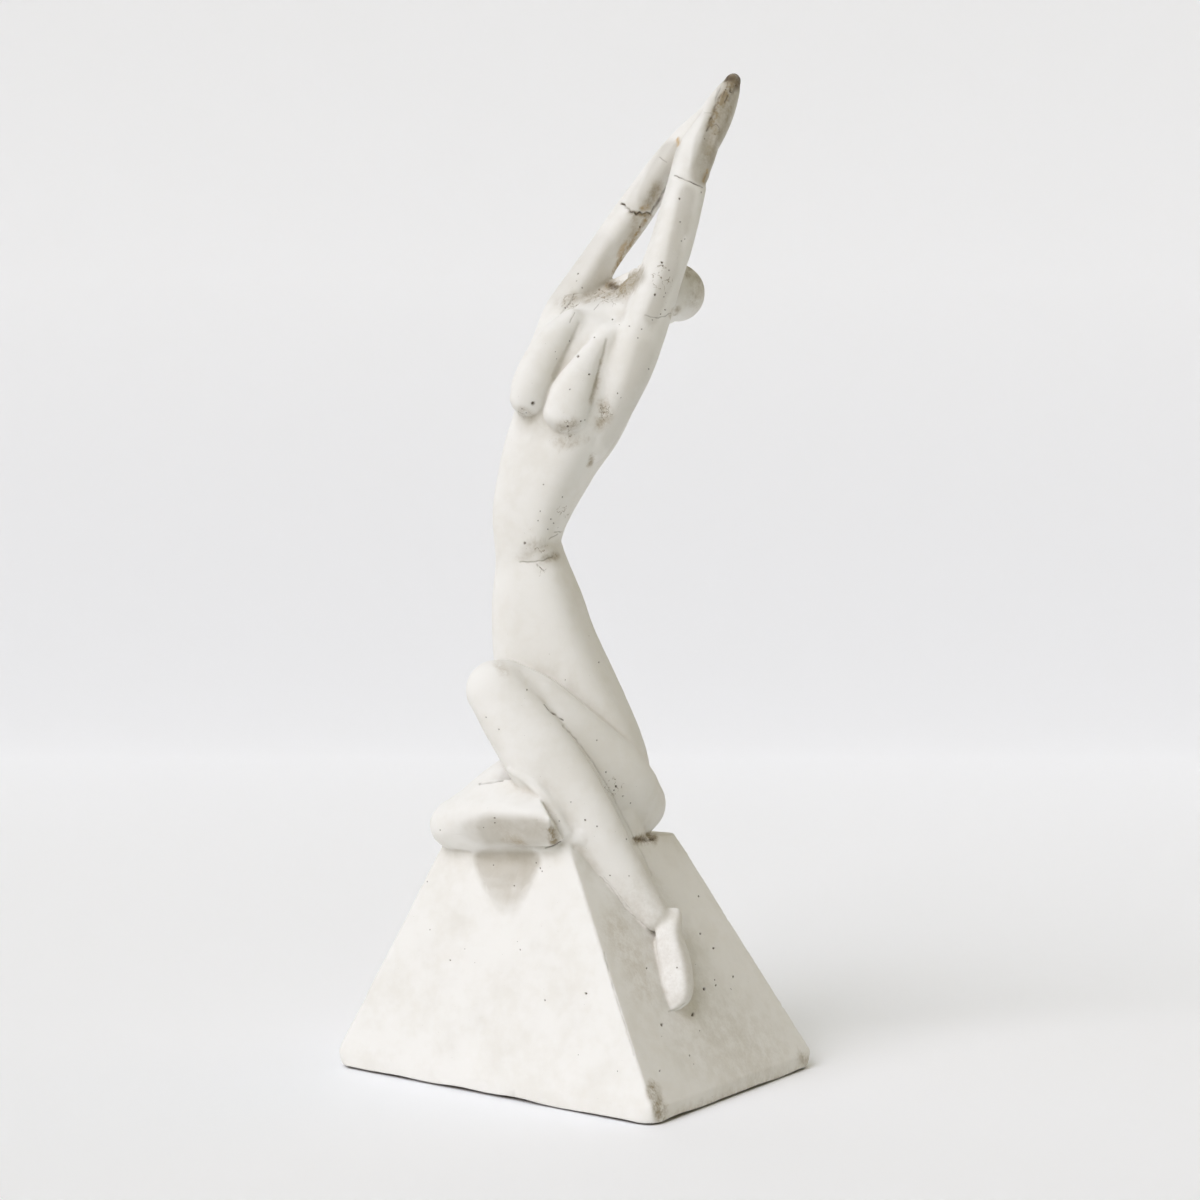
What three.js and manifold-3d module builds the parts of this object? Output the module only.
// Seated woman with raised, joined hands on a truncated rectangular pyramid.
// Cast in one piece in plaster, solid, standing by its own weight.
// Millimetres, Z up, origin at the middle of the underside.
// The wide front face looks along -Y, the narrow face that carries the left foot along +X.
import * as THREE from "three";
import { ConvexGeometry } from "three/addons/geometries/ConvexGeometry.js";
import { mergeVertices } from "three/addons/utils/BufferGeometryUtils.js";
import Module from "manifold-3d";

// Base: an upright foot and a pyramid cut off level, with slopes that differ from side to side.
const baseWidth = 231;
const baseDepth = 169;
const baseFootHeight = 9;
const seatHeight = 138.5;
const insetLeft = 58.5;
const insetRight = 79;
const insetFrontAndBack = 31.5;

// The figure is composed for a view turned this far from the front.
// The width of every section lies square to that view, its depth along it.
const viewTurnDegrees = 36.2;

// The folded lower leg ends in two flat cuts: the direction each faces and its distance.
const endCut = { facing: [0.885, -0.208, -0.414], distance: -19.9 };
const ledgeCut = { facing: [0.662, 0.5465, 0.515], distance: 66.8 };

// One level of a limb: its middle, half its width and half its depth.
function section(x, y, z, halfWidth, halfDepth) {
  return { centre: new THREE.Vector3(x, y, z), half: new THREE.Vector3(halfWidth, halfDepth, 0) };
}

// Hips and lower back, rising from the seat and leaning back to the waist.
const pelvis = {
  waist: section(-22.8, -14.2, 307, 20.7, 19),
  loin: section(-22, -9.2, 282, 27, 23),
  belly: section(-19.5, -3, 251.5, 32, 26),
  lap: section(-12, 4.5, 211, 39.5, 28),
  hips: section(-2.5, 10.5, 173, 42, 31),
  seat: section(3, 12, 140.5, 35, 30),
};
// Rib cage, leaning the other way from the waist, so the back folds in a sharp V.
const ribCage = {
  waist: section(-25, -16, 305, 18, 18),
  flank: section(-21, -15.5, 333.5, 23, 21),
  ribs: section(-12, -8.9, 365.5, 28.4, 25),
  bust: section(0, -0.2, 396.5, 33, 28),
  shoulders: section(12, 8.5, 428.5, 31, 26),
  collar: section(14.5, 13, 437, 27.5, 23),
};
// Left thigh, from the raised knee back to the buttock.
const leftThigh = {
  knee: section(-17.5, -46.5, 229, 18.5, 17),
  upper: section(-7, -36, 217, 23, 19),
  middle: section(4.5, -20.5, 199, 25.5, 22),
  hip: section(16.5, 7, 171.5, 28.5, 24),
  seat: section(18.5, 24.5, 156, 26, 21),
};
// Left lower leg, pressed against the thigh and running down over the corner of the seat.
const leftShin = {
  knee: section(-14, -56, 227.5, 18, 14),
  calf: section(6.5, -47.5, 195.5, 21, 16),
  middle: section(19.5, -40.5, 175.5, 21, 15),
  edge: section(33.5, -34, 153.5, 18.5, 13),
  lower: section(51.5, -23, 123.5, 12.5, 11),
  ankle: section(67.5, -13.5, 99.5, 8.5, 8),
};
// Left foot, flat against the narrow side face of the base.
const leftFoot = {
  heel: section(74, -3.5, 98.5, 5.5, 7),
  instep: section(76.5, -11, 88, 8, 9),
  ball: section(84, -15.5, 72.5, 9, 8.5),
  toes: section(90.5, -22, 59, 8, 6.5),
  tip: section(88.5, -26, 52, 4, 4),
};
// Right thigh, on the far side, from the folded knee to the hip.
const rightThigh = {
  knee: section(-49.5, -46, 150.5, 12, 15),
  lower: section(-45.5, -32, 158.5, 14, 18),
  middle: section(-39, -16, 166.5, 17, 20),
  hip: section(-29, 3.5, 173.5, 22, 24),
};
// Right lower leg, folded along the front edge of the seat.
const rightShin = {
  knee: section(-49.5, -51, 148, 15, 17),
  calf: section(-30.5, -52, 152.5, 20, 18),
  lower: section(-4, -55, 156.5, 19.5, 17),
  foot: section(32, -57, 155, 13.5, 13),
};
// Plaster left standing below the left shin, behind the cut end of the folded leg.
const underShin = {
  front: section(24, -46, 144, 8, 8),
  back: section(35, -40, 146, 8, 8),
};
// Ledge along the lower edge of the left shin, above the folded leg.
const ledge = {
  top: section(0.4, -59.7, 183.2, 3, 5),
  upper: section(9.9, -57.1, 178.1, 3.6, 6),
  middle: section(18.6, -54.6, 170, 4, 6),
  lower: section(24.6, -50.8, 159.9, 4, 6),
  foot: section(30.2, -47.2, 147.5, 4, 6),
};
// Lip of plaster below the folded leg, along the front edge of the seat.
const lip = {
  left: section(-33, -52.7, 131.8, 2.2, 3),
  middle: section(-6.2, -52.6, 135, 2.6, 3),
  right: section(16, -51.8, 138.6, 2.6, 3),
  corner: section(34, -50.5, 139, 1.8, 2),
};
// Collar, sloping from the top of the chest back to the throat.
const collar = {
  right: section(-6, 3, 443.5, 8.5, 9),
  throat: section(9, 11, 451.5, 12.5, 12),
  blade: section(22, 13, 453.5, 12, 12),
  left: section(33, 10, 449, 9, 9),
};
// Shoulders and upper back, joining both arms behind the neck.
const shoulders = {
  right: section(-15, 12, 446, 15, 12),
  spine: section(6, 17, 435, 20, 16.5),
  blade: section(28, 18, 432, 18.5, 15.5),
  left: section(36, 13, 438, 11, 11),
};
// Left arm, raised, from the side of the chest to inside the hands.
const leftArm = {
  side: section(14, -0.5, 372, 9, 12),
  blade: section(26.3, 3, 397, 13, 14),
  armpit: section(38.6, 6, 424, 15, 14),
  shoulder: section(48.5, 12, 458, 13.5, 15),
  elbow: section(56.5, 23, 497.5, 12.6, 13),
  forearm: section(59.5, 35, 534.5, 11.7, 11.5),
  wrist: section(63.5, 37.5, 548.5, 11.8, 11),
  inHand: section(70, 46, 569.5, 8, 8),
};
// Right arm, raised, on the far side.
const rightArm = {
  armpit: section(-17, 0, 428.5, 15.5, 13),
  shoulder: section(-13, 13, 455.5, 15.5, 14),
  upper: section(0.5, 24, 486.5, 11.5, 13),
  elbow: section(22.5, 31, 516.5, 11.5, 12),
  forearm: section(45, 42, 551.5, 9, 9),
  wrist: section(62, 49.5, 574, 5, 7),
};
// Both hands, joined palm to palm and tapering to one tip.
const joinedHands = {
  heel: section(59.5, 41, 543, 8, 12),
  palm: section(64, 45.5, 557.5, 10, 12.5),
  knuckle: section(69, 50.5, 573, 10, 11),
  finger: section(74, 54, 584.5, 7.5, 8.5),
  tip: section(76.5, 56, 591.5, 5, 5.5),
};
// Throat, thick and short, stretched by the head lying back.
const throat = {
  base: section(-0.2, 22, 451.3, 14, 12),
  middle: section(13, 30.5, 462, 14.5, 12),
  jaw: section(31.5, 34, 468, 15.5, 14),
};
// Head, a smooth ovoid thrown back so that the face looks up.
const head = {
  jaw: section(34, 22, 460.5, 15.5, 14.5),
  cheek: section(37.5, 27.5, 464, 18.5, 17.5),
  brow: section(42, 36, 466, 19.5, 18.5),
  crown: section(45.5, 42, 466, 17, 17),
};
// Left breast, a long drop hanging from the armpit.
const leftBreast = {
  root: section(31, -4.5, 440, 4.5, 6),
  top: section(24.5, -10.5, 429, 6.5, 7),
  upper: section(19, -16, 417, 9, 9),
  full: section(14, -20, 403, 13, 12.5),
  end: section(9.8, -21.2, 390, 13.5, 12.5),
};
// Right breast, a long drop hanging from the armpit.
const rightBreast = {
  root: section(9, -14.5, 447.5, 7, 7),
  top: section(2.5, -21.5, 435.5, 9.5, 8.5),
  upper: section(-4, -27.5, 421.5, 11, 10.5),
  full: section(-8.5, -31, 408, 11.5, 11.5),
  end: section(-10.5, -32, 400, 10.5, 10.5),
};

// Face, plain and calm, on the upper side of the head; sizes from the middle of the head.
const headMiddle = new THREE.Vector3(42, 34.5, 465);
const chinToCrown = new THREE.Vector3(0.6, 0.8, 0.08).normalize();
const headRadiusAlong = 25;
const headRadiusAcross = 18.5;
const headRadiusUp = 19.5;
const eyeLine = 0;
const eyeSpacing = 6.6;
const noseLength = 8.5;
const noseRise = 3.2;
const mouthLine = -13;
const mouthHalfWidth = 4.2;
const chinLine = -17.5;

const viewAngle = THREE.MathUtils.degToRad(viewTurnDegrees);
const viewDirection = new THREE.Vector3(Math.sin(viewAngle), -Math.cos(viewAngle), 0);

// How tightly the curve through the sections of a limb turns.
const curveTension = 0.5;

// The rounded end of a limb: angles at which its rings lie.
const endSteps = [25, 50, 72].map((degrees) => THREE.MathUtils.degToRad(degrees));

// Squareness of a section from the first to the last of a limb.
// A squareness of 2 gives an ellipse, more gives flat sides with soft corners.
const ellipse = [2, 2];
const fullOval = [2.2, 2.2];

// Outline of a section with half sizes of 1, as sideways and depthwise pairs.
// The roll in degrees turns the corners round before the outline is stretched to its half sizes.
function outline(sides, squareness, roll) {
  const turned = THREE.MathUtils.degToRad(roll);
  const points = [];
  for (let j = 0; j < sides; j++) {
    const angle = (2 * Math.PI * j) / sides;
    const level = Math.abs(Math.cos(angle - turned)) ** squareness;
    const plumb = Math.abs(Math.sin(angle - turned)) ** squareness;
    const radius = (level + plumb) ** (-1 / squareness);
    points.push(new THREE.Vector2(radius * Math.cos(angle), radius * Math.sin(angle)));
  }
  const widest = Math.max(...points.map((point) => Math.abs(point.x)));
  const deepest = Math.max(...points.map((point) => Math.abs(point.y)));
  return points.map((point) => new THREE.Vector2(point.x / widest, point.y / deepest));
}

// A closed skin over the sections of a limb: smooth along its length, rounded at both ends.
// Squareness and roll run from a value at the first section to one at the last.
function limb(sections, style) {
  const { sides, steps, squareness = fullOval, roll = [0, 0], endReach = [1, 1] } = style;
  const levels = Object.values(sections);
  const path = new THREE.CatmullRomCurve3(levels.map((s) => s.centre), false, "catmullrom", curveTension);
  const sizes = new THREE.CatmullRomCurve3(levels.map((s) => s.half), false, "catmullrom", curveTension);
  const spans = (levels.length - 1) * steps;
  const rings = [];
  for (let i = 0; i <= spans; i++) {
    const t = i / spans;
    rings.push({
      at: path.getPoint(t),
      along: path.getTangent(t),
      half: sizes.getPoint(t),
      share: 1,
      shape: outline(
        sides,
        THREE.MathUtils.lerp(...squareness, t),
        THREE.MathUtils.lerp(...roll, t),
      ),
    });
  }
  const first = rings[0];
  const last = rings[rings.length - 1];
  const reach = (ring, share) => Math.min(ring.half.x, ring.half.y) * share;
  const moved = (ring, distance) => ring.at.clone().addScaledVector(ring.along, distance);
  const startReach = -reach(first, endReach[0]);
  const stopReach = reach(last, endReach[1]);
  const start = endSteps.map((angle) => ({
    ...first, at: moved(first, startReach * Math.sin(angle)), share: Math.cos(angle),
  }));
  const stop = endSteps.map((angle) => ({
    ...last, at: moved(last, stopReach * Math.sin(angle)), share: Math.cos(angle),
  }));
  const all = [...start.reverse(), ...rings, ...stop];
  const positions = [];
  const put = (point) => positions.push(point.x, point.y, point.z);
  put(moved(first, startReach));
  for (const { at, along, half, share, shape } of all) {
    const across = along.clone().cross(viewDirection).normalize();
    const inward = across.clone().cross(along);
    for (const point of shape) {
      put(at.clone()
        .addScaledVector(across, share * half.x * point.x)
        .addScaledVector(inward, share * half.y * point.y));
    }
  }
  put(moved(last, stopReach));
  const index = [];
  const vertex = (ring, side) => 1 + ring * sides + (side % sides);
  const end = 1 + all.length * sides;
  for (let j = 0; j < sides; j++) {
    index.push(0, vertex(0, j), vertex(0, j + 1));
    for (let i = 0; i + 1 < all.length; i++) {
      index.push(vertex(i, j), vertex(i + 1, j), vertex(i + 1, j + 1));
      index.push(vertex(i, j), vertex(i + 1, j + 1), vertex(i, j + 1));
    }
    index.push(vertex(all.length - 1, j), end, vertex(all.length - 1, j + 1));
  }
  const geometry = new THREE.BufferGeometry();
  geometry.setAttribute("position", new THREE.Float32BufferAttribute(positions, 3));
  geometry.setIndex(index);
  return geometry;
}

// Vertices closer than this are one.
const weldDistance = 1e-4;

const wasm = await Module();
wasm.setup();

// A closed geometry as a solid that can be joined and cut.
function solid(geometry) {
  const plain = geometry.clone();
  plain.deleteAttribute("normal");
  plain.deleteAttribute("uv");
  const merged = mergeVertices(plain, weldDistance);
  return new wasm.Manifold(new wasm.Mesh({
    numProp: 3,
    vertProperties: new Float32Array(merged.attributes.position.array),
    triVerts: new Uint32Array(merged.index.array),
  }));
}

// Base: four corners on the ground, the same raised by the foot, and four round the seat.
function pedestal() {
  const corners = [];
  for (const side of [-1, 1]) {
    for (const front of [-1, 1]) {
      const inset = side < 0 ? insetLeft : insetRight;
      const x = (side * baseWidth) / 2;
      const y = (front * baseDepth) / 2;
      corners.push(new THREE.Vector3(x, y, 0));
      corners.push(new THREE.Vector3(x, y, baseFootHeight));
      corners.push(new THREE.Vector3(x - side * inset, y - front * insetFrontAndBack, seatHeight));
    }
  }
  return new ConvexGeometry(corners);
}

// Sides of a section, and steps between two of them, by size of limb.
const body = { sides: 24, steps: 3 };
const leg = { sides: 20, steps: 3 };
const arm = { sides: 16, steps: 2 };
const small = { sides: 13, steps: 2 };
const fine = { sides: 10, steps: 2 };

// A point of the face: distance towards the crown, to the side, and above the skin of the head.
const faceSide = new THREE.Vector3().crossVectors(chinToCrown, new THREE.Vector3(0, 0, 1)).normalize();
const faceUp = new THREE.Vector3().crossVectors(faceSide, chinToCrown).normalize();
function onFace(along, aside, above) {
  const flat = 1 - (along / headRadiusAlong) ** 2 - (aside / headRadiusAcross) ** 2;
  const height = headRadiusUp * Math.sqrt(Math.max(flat, 0)) + above;
  return headMiddle.clone()
    .addScaledVector(chinToCrown, along)
    .addScaledVector(faceSide, aside)
    .addScaledVector(faceUp, height);
}
function faceSection(along, aside, above, halfWidth, halfDepth) {
  const point = onFace(along, aside, above);
  return section(point.x, point.y, point.z, halfWidth, halfDepth);
}
function faceParts() {
  const feature = { ...fine, squareness: ellipse };
  const parts = [
    limb({
      root: faceSection(eyeLine + 2, 0, -1, 1, 1.4),
      bridge: faceSection(eyeLine - noseLength / 2, 0, noseRise / 3, 1.4, 1.6),
      tip: faceSection(eyeLine - noseLength, 0, noseRise - 1.6, 1.9, 2.2),
    }, feature),
    limb({
      right: faceSection(mouthLine, -mouthHalfWidth, -0.7, 0.8, 0.8),
      middle: faceSection(mouthLine, 0, -0.2, 1.3, 1.3),
      left: faceSection(mouthLine, mouthHalfWidth, -0.7, 0.8, 0.8),
    }, feature),
    limb({
      right: faceSection(chinLine, -2, -1.4, 2.2, 2.4),
      left: faceSection(chinLine, 2, -1.4, 2.2, 2.4),
    }, feature),
  ];
  for (const side of [-1, 1]) {
    const eye = side * eyeSpacing;
    parts.push(limb({
      inner: faceSection(eyeLine, eye - side * 2.2, -0.9, 0.9, 1.1),
      middle: faceSection(eyeLine, eye, -0.4, 1.5, 1.5),
      outer: faceSection(eyeLine, eye + side * 2.2, -0.9, 0.9, 1.1),
    }, feature));
    parts.push(limb({
      inner: faceSection(eyeLine + 2.4, side * 1.6, -0.5, 0.9, 1),
      arch: faceSection(eyeLine + 4.6, eye, -0.2, 1.1, 1.1),
      outer: faceSection(eyeLine + 3, eye + side * 4.2, -0.8, 0.8, 0.9),
    }, feature));
  }
  return parts;
}

// Keeps what lies behind the plane of a cut.
function cutOff(made, { facing, distance }) {
  const kept = new THREE.Vector3(...facing).normalize().negate();
  return made.trimByPlane(kept.toArray(), -distance);
}
const wholeLeg = solid(limb(rightShin, { ...leg, squareness: [2.2, 6], roll: [-25, -34] }));
const foldedLeg = cutOff(cutOff(wholeLeg, endCut), ledgeCut);

const pieces = [
  limb(pelvis, { ...body, squareness: [3.2, 3.2], roll: [-17, -8] }),
  limb(ribCage, { ...body, squareness: [3.1, 3.1], roll: [20, 16], endReach: [1, 0.8] }),
  limb(leftThigh, { ...leg, squareness: [3.2, 3.2], roll: [12, 12], endReach: [1, 1.15] }),
  limb(leftShin, { ...leg, endReach: [1.35, 1] }),
  limb(leftFoot, { ...small, squareness: [2.6, 6], roll: [-20, -24], endReach: [0.8, 0.6] }),
  limb(rightThigh, leg),
  limb(underShin, small),
  limb(ledge, { ...small, squareness: [2.4, 2.4] }),
  limb(lip, fine),
  limb(collar, { ...small, squareness: ellipse }),
  limb(shoulders, { ...arm, squareness: ellipse }),
  limb(leftArm, { ...arm, squareness: [2.7, 2.7], roll: [-28, -15] }),
  limb(rightArm, { ...arm, squareness: [3, 3], roll: [-38, -32] }),
  limb(joinedHands, { ...arm, squareness: [4, 4], roll: [-52, -24], endReach: [1, 1.1] }),
  limb(throat, { ...arm, squareness: ellipse }),
  limb(head, { ...leg, squareness: [2.1, 2.1], endReach: [1.2, 1] }),
  limb(leftBreast, { ...small, endReach: [1, 0.9] }),
  limb(rightBreast, small),
  ...faceParts(),
];

const casting = pieces.reduce((whole, piece) => whole.add(solid(piece)), solid(pedestal()).add(foldedLeg));

const plaster = new THREE.MeshStandardMaterial({ color: 0xe9e6dd, roughness: 0.85 });

// The joined solid as a named mesh.
function mesh(name, made) {
  const { numProp, numVert, vertProperties, triVerts } = made.getMesh();
  const positions = new Float32Array(numVert * 3);
  for (let i = 0; i < numVert; i++) {
    positions.set(vertProperties.subarray(i * numProp, i * numProp + 3), i * 3);
  }
  const geometry = new THREE.BufferGeometry();
  geometry.setAttribute("position", new THREE.BufferAttribute(positions, 3));
  geometry.setIndex(new THREE.BufferAttribute(new Uint32Array(triVerts), 1));
  geometry.computeVertexNormals();
  const named = new THREE.Mesh(geometry, plaster);
  named.name = name;
  return named;
}

const group = new THREE.Group();
group.add(mesh("seated_woman", casting));

export default group;
